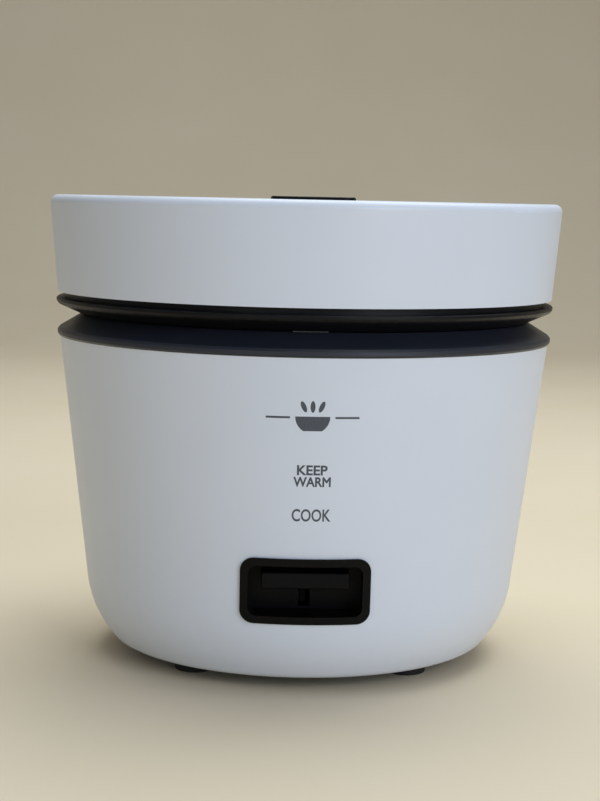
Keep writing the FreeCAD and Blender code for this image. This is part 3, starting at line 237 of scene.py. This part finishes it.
def laid_on(surface, flat, ways):
    """Lays a flat mesh on a CAD surface: each point goes along its own ray till it touches."""
    for v in flat.verts:
        start, way = ways(v.co.x, v.co.y)
        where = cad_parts[surface].ray_cast(start, way)[1]
        v.co = where - way * (ink_clear + v.co.z)


def print_mesh(words, wide, high, bold):
    """A line of plain capitals or numbers as a flat bmesh of that size, centred on zero."""
    line = bpy.data.curves.new("line", "FONT")
    line.body = words
    line.resolution_u = 6
    carrier = bpy.data.objects.new("line", line)
    bpy.context.scene.collection.objects.link(carrier)
    bpy.context.view_layer.update()
    letters = bpy.data.meshes.new_from_object(carrier)
    bpy.data.objects.remove(carrier)
    flat = bmesh.new()
    flat.from_mesh(letters)
    bpy.data.meshes.remove(letters)
    bmesh.ops.remove_doubles(flat, verts=flat.verts, dist=1e-5)
    if bold:
        lips = bmesh.ops.inset_region(flat, faces=flat.faces[:], thickness=-bold,
                                      use_boundary=True, use_even_offset=True)["faces"]
        bmesh.ops.delete(flat, geom=lips, context="FACES")
    xs, ys = [v.co.x for v in flat.verts], [v.co.y for v in flat.verts]
    middle = Vector(((min(xs) + max(xs)) / 2, (min(ys) + max(ys)) / 2, 0))
    bmesh.ops.translate(flat, vec=-middle, verts=flat.verts)
    bmesh.ops.scale(flat, verts=flat.verts, vec=(wide / (max(xs) - min(xs)),
                                                 high / (max(ys) - min(ys)), 1))
    return flat


def thicken(flat):
    """Gives a flat print the thickness of a coat of ink; its back stays on the surface."""
    top = bmesh.ops.extrude_face_region(flat, geom=flat.faces[:])["geom"]
    bmesh.ops.translate(flat, vec=(0, 0, ink_thick),
                        verts=[v for v in top if isinstance(v, bmesh.types.BMVert)])
    bmesh.ops.recalc_face_normals(flat, faces=flat.faces)


def finished(name, shape, material, body):
    """A bmesh becomes an object at the origin, with its finish, that rides on a body."""
    mesh = bpy.data.meshes.new(name)
    shape.to_mesh(mesh)
    shape.free()
    mesh.materials.append(material)
    mesh.shade_smooth()
    sharpest_smooth = math.radians(32)
    mesh.set_sharp_from_angle(angle=sharpest_smooth)
    piece = bpy.data.objects.new(name, mesh)
    bpy.context.scene.collection.objects.link(piece)
    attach(piece, body)
    return piece


def towards_front(x, z):
    """The ray that meets the body's face from the front, at that place across and up."""
    return Vector((x, cad_low.y - 0.05, z)), Vector((0, 1, 0))


# Pad-printing ink: dark grey, matt, a little thin over the grain so that it is never even.
printing_ink, shader, spot = new_finish("pad_printing_ink", {"IOR": 1.5})
thin = add(printing_ink, "TexNoise", {"Vector": spot, "Scale": per_metre(0.7), "Detail": 3.0})
plug(shader, {
    "Base Color": add(printing_ink, "Mix", {0: thin["Fac"], 6: linear("#3b3f47"),
                                            7: linear("#5a5f68")}, data_type="RGBA")[2],
    "Roughness": add(printing_ink, "MapRange", {"Value": thin["Fac"], "To Min": 0.45,
                                                "To Max": 0.65})[0]})
words_aside, emblem_aside, emblem_height = 1.3 * mm, 1.0 * mm, 99 * mm
for name, words, wide, high, middle, bold in (
    ("word_cook", "COOK", 13.0, 4.3, 65.3, 0.016),
    ("word_warm", "WARM", 12.5, 3.4, 76.8, 0.028),
    ("word_keep", "KEEP", 10.2, 3.4, 80.8, 0.028),
):
    word = print_mesh(words, wide * mm, high * mm, bold)
    bmesh.ops.translate(word, vec=(words_aside, middle * mm, 0), verts=word.verts)
    bmesh.ops.subdivide_edges(word, edges=[e for e in word.edges if e.calc_length() > 1.2 * mm],
                              cuts=2)
    thicken(word)
    laid_on("body_shell", word, towards_front)
    finished(name, word, printing_ink, "base")

bowl_rings, bowl_foot = (5.8, 4.5, 3.0, 1.5, 0.0), -4.9
grain_half_wide, grain_half_long, grain_height = 0.8, 2.0, 3.3
dash_long, dash_thick, dash_aside, dash_height = 8.0, 0.7, 11.5, -0.35
emblem = bmesh.new()
rim = [emblem.verts.new((-r * mm, 0, 0)) for r in bowl_rings]
spokes = [emblem.edges.new(pair) for pair in zip(rim, rim[1:])]
bmesh.ops.spin(emblem, geom=spokes + rim, cent=(0, 0, 0), axis=(0, 0, 1), angle=math.pi,
               steps=28)
bmesh.ops.remove_doubles(emblem, verts=emblem.verts, dist=1e-6)
bmesh.ops.bisect_plane(emblem, geom=emblem.verts[:] + emblem.edges[:] + emblem.faces[:],
                       plane_co=(0, bowl_foot * mm, 0), plane_no=(0, 1, 0), clear_inner=True)
for lean_angle, to_side in ((24, -3.0), (0, 0.0), (-24, 3.0)):
    grain = bmesh.ops.create_circle(emblem, cap_ends=True, segments=20, radius=1.0)["verts"]
    shape = (Matrix.Translation((to_side * mm, grain_height * mm, 0))
             @ Matrix.Rotation(math.radians(lean_angle), 4, "Z")
             @ Matrix.Diagonal((grain_half_wide * mm, grain_half_long * mm, 1, 1)))
    bmesh.ops.transform(emblem, matrix=shape, verts=grain)
for side in (-1, 1):
    dash = bmesh.ops.create_grid(emblem, x_segments=6, y_segments=1, size=0.5)["verts"]
    bmesh.ops.scale(emblem, vec=(dash_long * mm, dash_thick * mm, 1), verts=dash)
    bmesh.ops.translate(emblem, vec=(side * dash_aside * mm, dash_height * mm, 0), verts=dash)
thicken(emblem)
bmesh.ops.translate(emblem, vec=(emblem_aside, emblem_height, 0), verts=emblem.verts)
laid_on("body_shell", emblem, towards_front)
finished("emblem_bowl", emblem, printing_ink, "base")


# Control bezel, lever key, lid button and vent cap. Black ABS, moulded smoother than the
# black rings, so their edges carry a thin clean line of light.
black_abs = moulded_plastic("black_abs", "#060607", "#0a0a0b", 0.38, 0.4, 0.006, shine=0.12)
coat(black_abs, "control_bezel", "cook_key", "lid_button", "steam_vent_cap", "steam_vent_tube")


# Collar and lid base. The two black rings between the white mouldings, in polypropylene with
# the same fine grain as the shell: dull from the front, grey where they slope to the light.
black_polypropylene = moulded_plastic("black_polypropylene", "#08080a", "#0e0e11", 0.40,
                                      0.5, 0.012, shine=0.2)
coat(black_polypropylene, "lid_base", "plate_knob")
# The collar is the same resin, painted a little lighter and bluer than the lid base: painted light
# for the light its upward slope catches.
# painted light: a lit copy of the black polypropylene, lighter and bluer, for the collar's slope
painted_lit_black = moulded_plastic("blue_black_polypropylene", "#1f232c", "#272b35", 0.40, 0.5, 0.012)
coat(painted_lit_black, "collar")


# Bottom cover. A shallow disc of grey-black polypropylene with a coarse eroded texture that
# hides scuffs; the vent slots are moulded through it.
coarse_polypropylene = moulded_plastic("coarse_polypropylene", "#1f1f21", "#2a2a2c", 0.58,
                                       1.1, 0.05)
coat(coarse_polypropylene, "bottom_cover")


# Electrical mouldings: inlet, micro switch, its holder and the lamp holder. Glass-filled
# nylon, slightly mottled and dry to the touch.
glass_nylon = moulded_plastic("glass_filled_nylon", "#171719", "#242427", 0.52, 0.7, 0.02)
coat(glass_nylon, "power_inlet", "micro_switch", "switch_holder", "lamp_holder")


# Latch hook and switch plunger. The two small moving pieces, moulded in natural acetal, which
# needs no grease: off-white, waxy, lets a little light in.
natural_acetal = moulded_plastic("natural_acetal", "#d5d1c4", "#dedbd0", 0.33, 0.6, 0.008)
plug(natural_acetal.node_tree.nodes["Principled BSDF"],
     {"Subsurface Weight": 0.15, "Subsurface Radius": (0.002, 0.002, 0.0015)})
coat(natural_acetal, "latch_hook", "switch_plunger")


# Bottom screws. Three zinc-plated self-tapping screws, pan heads with a cross recess, deep in
# the holes of the bottom cover.
def solids_of(node):
    """The box of each separate solid of a CAD node."""
    whole = bmesh.new()
    whole.from_mesh(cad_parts[node].data)
    bmesh.ops.remove_doubles(whole, verts=whole.verts, dist=1e-6)
    waiting, boxes = set(whole.verts), []
    while waiting:
        solid = [waiting.pop()]
        for v in solid:
            near = [e.other_vert(v) for e in v.link_edges]
            fresh = [n for n in near if n in waiting]
            waiting.difference_update(fresh)
            solid.extend(fresh)
        boxes.append([Vector([pick(v.co[i] for v in solid) for i in range(3)])
                      for pick in (min, max)])
    whole.free()
    return sorted(boxes, key=lambda b: (round(b[0].x, 4), round(b[0].y, 4)))


def cross_screw(shape, foot, head_radius, head_high, shank_radius, length):
    """A pan-head screw standing on its head at foot, its cross recess facing down."""
    before = set(shape.verts)
    arm, web, deep = head_radius * 0.55, head_radius * 0.14, head_high * 0.6
    plus = []
    for quarter in range(4):
        turn_by = Matrix.Rotation(quarter * math.pi / 2, 4, "Z")
        for corner in ((arm, -web), (arm, web), (web, web)):
            plus.append(shape.verts.new(turn_by @ Vector((*corner, 0))))
    recess = shape.faces.new(plus)
    rim = bmesh.ops.create_circle(shape, segments=24, radius=head_radius * 0.8)["verts"]
    rim_edges = [e for e in shape.edges if e.verts[0] in rim and e.verts[1] in rim]
    bmesh.ops.bridge_loops(shape, edges=list(recess.edges) + rim_edges)
    floor_of_it = bmesh.ops.extrude_discrete_faces(shape, faces=[recess])["faces"][0]
    bmesh.ops.translate(shape, vec=(0, 0, deep), verts=floor_of_it.verts)
    bmesh.ops.scale(shape, vec=(0.55, 0.55, 1), verts=floor_of_it.verts,
                    space=Matrix.Identity(4))
    ring = rim_edges
    thread = 0.12 * shank_radius
    steps = [(head_radius * 0.97, head_high * 0.3), (head_radius, head_high * 0.7),
             (head_radius, head_high), (shank_radius, head_high)]
    turns = int((length - head_high) / (0.9 * shank_radius))
    for i in range(turns):
        at = head_high + (i + 0.35) * (length - head_high) / turns
        steps += [(shank_radius - thread, at), (shank_radius, at + 0.2 * shank_radius)]
    steps.append((shank_radius * 0.3, length))
    radius, height = head_radius * 0.8, 0
    for wide, high in steps:
        made = bmesh.ops.extrude_edge_only(shape, edges=ring)["geom"]
        verts = [g for g in made if isinstance(g, bmesh.types.BMVert)]
        ring = [g for g in made if isinstance(g, bmesh.types.BMEdge)
                and g.verts[0] in verts and g.verts[1] in verts]
        bmesh.ops.scale(shape, vec=(wide / radius, wide / radius, 1), verts=verts)
        bmesh.ops.translate(shape, vec=(0, 0, high - height), verts=verts)
        radius, height = wide, high
    bmesh.ops.contextual_create(shape, geom=ring)
    bmesh.ops.translate(shape, vec=foot, verts=[v for v in shape.verts if v not in before])


# Zinc plate on screws: bright, cold, with faint yellow-blue bloom in patches.
zinc_plate, shader, spot = new_finish("zinc_plate", {"Metallic": 1.0})
bloom = add(zinc_plate, "TexNoise", {"Vector": spot, "Scale": per_metre(3), "Detail": 3.0})
plug(shader, {
    "Base Color": add(zinc_plate, "Mix", {0: bloom["Fac"], 6: linear("#b9b7a8"),
                                          7: linear("#c4c9cf")}, data_type="RGBA")[2],
    "Roughness": add(zinc_plate, "MapRange", {"Value": bloom["Fac"], "To Min": 0.22,
                                              "To Max": 0.42})[0]})
head_high, shank_radius = 1.8 * mm, 1.4 * mm
screws = bmesh.new()
for low, high in solids_of("bottom_screws"):
    foot = Vector(((low.x + high.x) / 2, (low.y + high.y) / 2, low.z))
    cross_screw(screws, foot, (high.x - low.x) / 2, head_high, shank_radius, high.z - low.z)
bmesh.ops.recalc_face_normals(screws, faces=screws.faces)
bottom_screws = finished("bottom_cross_screws", screws, zinc_plate, "base")
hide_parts("bottom_screws")
coat(zinc_plate, "lid_screws", "bracket_screws", "heater_screws", "liner_screws",
     "plate_spacers", "bottom_screws")


# Feet. Four turned-over discs of black rubber, each with a shallow cup on its sole and a plug
# that is pulled through the bottom cover.
feet = bmesh.new()
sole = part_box("bottom_cover")[0].z
for low, high in solids_of("rubber_feet"):
    wide = (high.x - low.x) / 2
    outline = ((0.0, 0.9), (4.0, 0.9), (4.8, 0.0), (6.6, 0.0), (7.2, 0.25), (wide / mm, 0.9),
               (wide / mm, (sole / mm) - 0.4), (wide / mm - 0.4, sole / mm))
    middle = Vector(((low.x + high.x) / 2, (low.y + high.y) / 2, 0))
    ring = [feet.verts.new(middle + Vector((r * mm, 0, z * mm))) for r, z in outline]
    ring += [feet.verts.new(middle + Vector((r, 0, z))) for r, z in
             ((2.9 * mm, sole), (2.9 * mm, sole + 2.3 * mm), (3.9 * mm, sole + 2.5 * mm),
              (2.6 * mm, high.z), (0, high.z))]
    lines = [feet.edges.new(pair) for pair in zip(ring, ring[1:])]
    bmesh.ops.spin(feet, geom=ring + lines, cent=middle, axis=(0, 0, 1), angle=2 * math.pi,
                   steps=40, use_merge=True)
bmesh.ops.remove_doubles(feet, verts=feet.verts, dist=1e-6)
bmesh.ops.recalc_face_normals(feet, faces=feet.faces)
# Black nitrile rubber: dull, dusty in its pores.
nitrile_rubber = moulded_plastic("nitrile_rubber", "#141414", "#222120", 0.75, 0.8, 0.03)
rubber_feet = finished("moulded_feet", feet, nitrile_rubber, "base")
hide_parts("rubber_feet")
coat(nitrile_rubber, "rubber_feet")


# Sheet steel inside: lever, bracket, fuse strap and posts. Pressed and zinc plated, with the
# faint drag lines of the strip it was cut from.
def strip_steel(name, dark, light, rough, line):
    """Rolled strip with drag lines along x; line is their spacing in mm."""
    material, shader, spot = new_finish(name, {"Metallic": 1.0})
    drawn = add(material, "Mapping", {"Vector": spot, "Scale": (0.04, 1.0, 1.0)})["Vector"]
    lines = add(material, "TexNoise", {"Vector": drawn, "Scale": per_metre(line), "Detail": 4.0})
    relief = add(material, "Bump", {"Height": lines["Fac"], "Strength": 0.3,
                                    "Distance": 0.01 * mm})["Normal"]
    plug(shader, {
        "Base Color": add(material, "Mix", {0: lines["Fac"], 6: linear(dark), 7: linear(light)},
                          data_type="RGBA")[2],
        "Roughness": add(material, "MapRange", {"Value": lines["Fac"], "To Min": rough - 0.06,
                                                "To Max": rough + 0.06})[0],
        "Normal": relief})
    return material


plated_strip = strip_steel("zinc_plated_strip", "#a3a39d", "#bfc1c0", 0.36, 0.6)
coat(plated_strip, "lever_bracket", "lever_arm", "fuse_strap", "chassis_posts")


# Pins, magnet rod and springs. Drawn steel, bright on the pins and darker, oiled, on the
# springs.
drawn_steel = strip_steel("drawn_steel", "#b0b0b0", "#c9caca", 0.22, 0.3)
coat(drawn_steel, "hinge_pin", "latch_pin", "lever_pin", "magnet_rod")
spring_wire = strip_steel("oiled_spring_wire", "#74726d", "#8f8d87", 0.32, 0.25)
coat(spring_wire, "latch_spring", "release_spring", "sensor_spring")
# The lever, the latch and the pot press the coils; here each coil is only copied into a piece of
# its own that rides on its body, and the table's joint, still end and pressed length are not used.
for node, body, joint, still_end, pressed in (
    ("latch_spring", "lid", "latch_swing", 0, 1.8),
    ("release_spring", "sensor", "cook_lever", 1, 4.6),
    ("sensor_spring", "base", "sensor_press", 0, 1.0),
):
    coil = bmesh.new()
    coil.from_mesh(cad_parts[node].data)
    bmesh.ops.remove_doubles(coil, verts=coil.verts, dist=1e-6)
    piece = finished(node.replace("spring", "coil"), coil, spring_wire, body)
    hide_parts(node)
    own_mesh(piece)


# Liner. A deep-drawn can of galvanised sheet round the pot, with the flat crystal flowers of
# hot-dip zinc, 6 mm wide.
galvanised, shader, spot = new_finish("galvanised_sheet", {"Metallic": 1.0})
flowers = add(galvanised, "TexVoronoi", {"Vector": spot, "Scale": per_metre(6)})
tint = add(galvanised, "SeparateColor", {"Color": flowers["Color"]})
plug(shader, {
    "Base Color": add(galvanised, "Mix", {0: tint["Red"], 6: linear("#9a9d9f"),
                                          7: linear("#bcbfc0")}, data_type="RGBA")[2],
    "Roughness": add(galvanised, "MapRange", {"Value": tint["Green"], "To Min": 0.3,
                                              "To Max": 0.5})[0]})
coat(galvanised, "inner_liner")


# Heating plate and thermostat sleeve. Die-cast aluminium whose top face is turned on a lathe,
# so fine rings 0.7 mm apart catch the light.
def turned_aluminium(name, dark, light, rough, pitch):
    """Aluminium with the rings of a lathe about the drum's axis; pitch is their spacing in mm."""
    material, shader, spot = new_finish(name, {"Metallic": 1.0})
    centred = add(material, "Mapping", {"Vector": spot, "Location": -drum_axis})["Vector"]
    wave_period = 0.314  # at a scale of 1, the pattern's rings are this far apart
    rings = add(material, "TexWave", {"Vector": centred, "Scale": wave_period * per_metre(pitch),
                                      "Distortion": 0.4, "Detail": 2.0},
                wave_type="RINGS", rings_direction="Z")
    cloudy = add(material, "TexNoise", {"Vector": spot, "Scale": per_metre(12), "Detail": 4.0})
    relief = add(material, "Bump", {"Height": rings["Fac"], "Strength": 0.35,
                                    "Distance": 0.02 * mm})["Normal"]
    plug(shader, {
        "Base Color": add(material, "Mix", {0: cloudy["Fac"], 6: linear(dark), 7: linear(light)},
                          data_type="RGBA")[2],
        "Roughness": add(material, "MapRange", {"Value": cloudy["Fac"], "To Min": rough - 0.05,
                                                "To Max": rough + 0.08})[0],
        "Normal": relief})
    return material


cast_aluminium = turned_aluminium("cast_aluminium", "#a2a2a4", "#bcbdbf", 0.38, 0.7)
coat(cast_aluminium, "heating_plate", "thermostat_sleeve")


# Inner lid plate and sensor cap. The plate closes the pot from above and hangs on the knob; the
# cap feels the pot's floor. Both are spun aluminium sheet, anodised to a soft satin.
anodised = turned_aluminium("anodised_aluminium", "#c3c4c6", "#d3d4d6", 0.28, 1.2)
coat(anodised, "inner_lid_plate", "sensor_cap")


# Magnet and sensing ring. They hold the lever down until the pot runs dry and the ring lets go.
# Sintered ferrite: charcoal, faintly sparkling where it was ground.
ferrite, shader, spot = new_finish("sintered_ferrite", {"Metallic": 0.6})
crystals = add(ferrite, "TexVoronoi", {"Vector": spot, "Scale": per_metre(0.5)})
plug(shader, {
    "Base Color": add(ferrite, "Mix", {0: crystals["Distance"], 6: linear("#2a2a2b"),
                                       7: linear("#4b4a49")}, data_type="RGBA")[2],
    "Roughness": 0.55})
coat(ferrite, "magnet_ring", "sensing_ring")


# Terminals and inlet pins. The element's two ends and the inlet's three blades: stamped brass
# with a thin flash of nickel, rubbed yellow at the tips.
brass, shader, spot = new_finish("nickel_flashed_brass", {"Metallic": 1.0})
rubbed = add(brass, "TexNoise", {"Vector": spot, "Scale": per_metre(4), "Detail": 4.0})
plug(shader, {
    "Base Color": add(brass, "Mix", {0: rubbed["Fac"], 6: linear("#b89a55"),
                                     7: linear("#cfc7b0")}, data_type="RGBA")[2],
    "Roughness": add(brass, "MapRange", {"Value": rubbed["Fac"], "To Min": 0.2,
                                         "To Max": 0.4})[0]})
coat(brass, "inlet_pins", "element_terminals")


# Keep-warm thermostat and thermal fuse. Small drawn cans with a dull tinned skin, both held
# flat under the liner's floor, the fuse by its strap.
tinned_can = strip_steel("tinned_can", "#aaa9a4", "#c5c5c2", 0.4, 0.9)
coat(tinned_can, "keep_warm_thermostat", "thermal_fuse")


# Indicator lamps. Clear glass neon tubes in a holder behind the shell's front wall, with an
# orange glow left in the gas.
neon_glass, shader, spot = new_finish("neon_glass", {
    "IOR": 1.5, "Transmission Weight": 0.6, "Emission Strength": 0.4})
seed = add(neon_glass, "TexNoise", {"Vector": spot, "Scale": per_metre(2), "Detail": 2.0})
glow = add(neon_glass, "Mix", {0: seed["Fac"], 6: linear("#e06a35"), 7: linear("#f0a070")},
           data_type="RGBA")[2]
plug(shader, {"Base Color": glow, "Emission Color": glow, "Roughness": 0.08})
coat(neon_glass, "indicator_lamps")


# Inner pot. Spun aluminium, bare outside; inside it has a charcoal non-stick coat with a fine
# pale fleck, and printed level lines with their cup numbers on the back wall.
pot_low, pot_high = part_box("inner_pot")
above_middle = 4 * mm
pot_finish, shader, spot = new_finish("non_stick_over_aluminium", {})
inside = Vector((drum_axis.x, drum_axis.y, (pot_low.z + pot_high.z) / 2 + above_middle))
to_inside = add(pot_finish, "VectorMath", {0: inside, 1: spot}, operation="SUBTRACT")[0]
facing = add(pot_finish, "VectorMath", {0: to_inside,
                                        1: add(pot_finish, "NewGeometry", {})["Normal"]},
             operation="DOT_PRODUCT")["Value"]
coated = add(pot_finish, "Math", {0: facing, 1: 0.0}, operation="GREATER_THAN")[0]
flecks = add(pot_finish, "TexVoronoi", {"Vector": spot, "Scale": per_metre(1.4)})
fleck = add(pot_finish, "Math", {0: flecks["Distance"], 1: 0.17}, operation="LESS_THAN")[0]
coating = add(pot_finish, "Mix", {0: fleck, 6: linear("#2d2e30"), 7: linear("#5b5c5e")},
              data_type="RGBA")[2]
spun = add(pot_finish, "TexNoise", {"Vector": spot, "Scale": per_metre(8), "Detail": 4.0})
bare = add(pot_finish, "Mix", {0: spun["Fac"], 6: linear("#b4b5b7"), 7: linear("#c9cacc")},
           data_type="RGBA")[2]
plug(shader, {
    "Base Color": add(pot_finish, "Mix", {0: coated, 6: bare, 7: coating},
                      data_type="RGBA")[2],
    "Metallic": add(pot_finish, "Math", {0: 1.0, 1: coated}, operation="SUBTRACT")[0],
    "Roughness": add(pot_finish, "MapRange", {"Value": spun["Fac"], "To Min": 0.26,
                                              "To Max": 0.42})[0]})
coat(pot_finish, "inner_pot")

# White level print: chalky, slightly worn.
level_print = moulded_plastic("level_print", "#b9bbbd", "#d0d2d3", 0.5, 0.4, 0.004)


marks_at, wall_radius = math.radians(68), 68.8 * mm


def towards_back_wall(x, z):
    """The ray from the drum's axis to the pot's back wall; x is measured along the wall."""
    around = marks_at - x / wall_radius
    return drum_axis + Vector((0, 0, z)), Vector((math.cos(around), math.sin(around), 0))


number_wide, number_high, number_aside = 2.0 * mm, 3.6 * mm, 8.5 * mm
line_long, line_thick = 10 * mm, 0.5 * mm
levels = bmesh.new()
for cups, height in ((1, 76.0), (2, 89.0), (3, 102.0)):
    number = print_mesh(str(cups), number_wide, number_high, 0.0)
    bmesh.ops.translate(number, vec=(number_aside, height * mm, 0), verts=number.verts)
    spare = bpy.data.meshes.new("number")
    number.to_mesh(spare)
    number.free()
    levels.from_mesh(spare)
    bpy.data.meshes.remove(spare)
    line = bmesh.ops.create_grid(levels, x_segments=9, y_segments=1, size=0.5)["verts"]
    bmesh.ops.scale(levels, vec=(line_long, line_thick, 1), verts=line)
    bmesh.ops.translate(levels, vec=(0, height * mm, 0), verts=line)
thicken(levels)
laid_on("inner_pot", levels, towards_back_wall)
finished("pot_level_marks", levels, level_print, "base")


# Seal. A soft ring of translucent silicone, moulded in one piece and pressed over the rim of
# the inner lid plate.
silicone, shader, spot = new_finish("translucent_silicone", {
    "IOR": 1.41, "Subsurface Weight": 0.35, "Subsurface Radius": (0.004, 0.004, 0.004)})
bloom = add(silicone, "TexNoise", {"Vector": spot, "Scale": per_metre(10), "Detail": 3.0})
plug(shader, {
    "Base Color": add(silicone, "Mix", {0: bloom["Fac"], 6: linear("#c4c4bf"),
                                        7: linear("#d3d3cf")}, data_type="RGBA")[2],
    "Roughness": add(silicone, "MapRange", {"Value": bloom["Fac"], "To Min": 0.4,
                                            "To Max": 0.55})[0]})
coat(silicone, "lid_seal")


# Lid cover. The white cap with its plain upright skirt, the same polypropylene as the body,
# screwed to the lid base from below.
coat(white_polypropylene, "lid_cover")
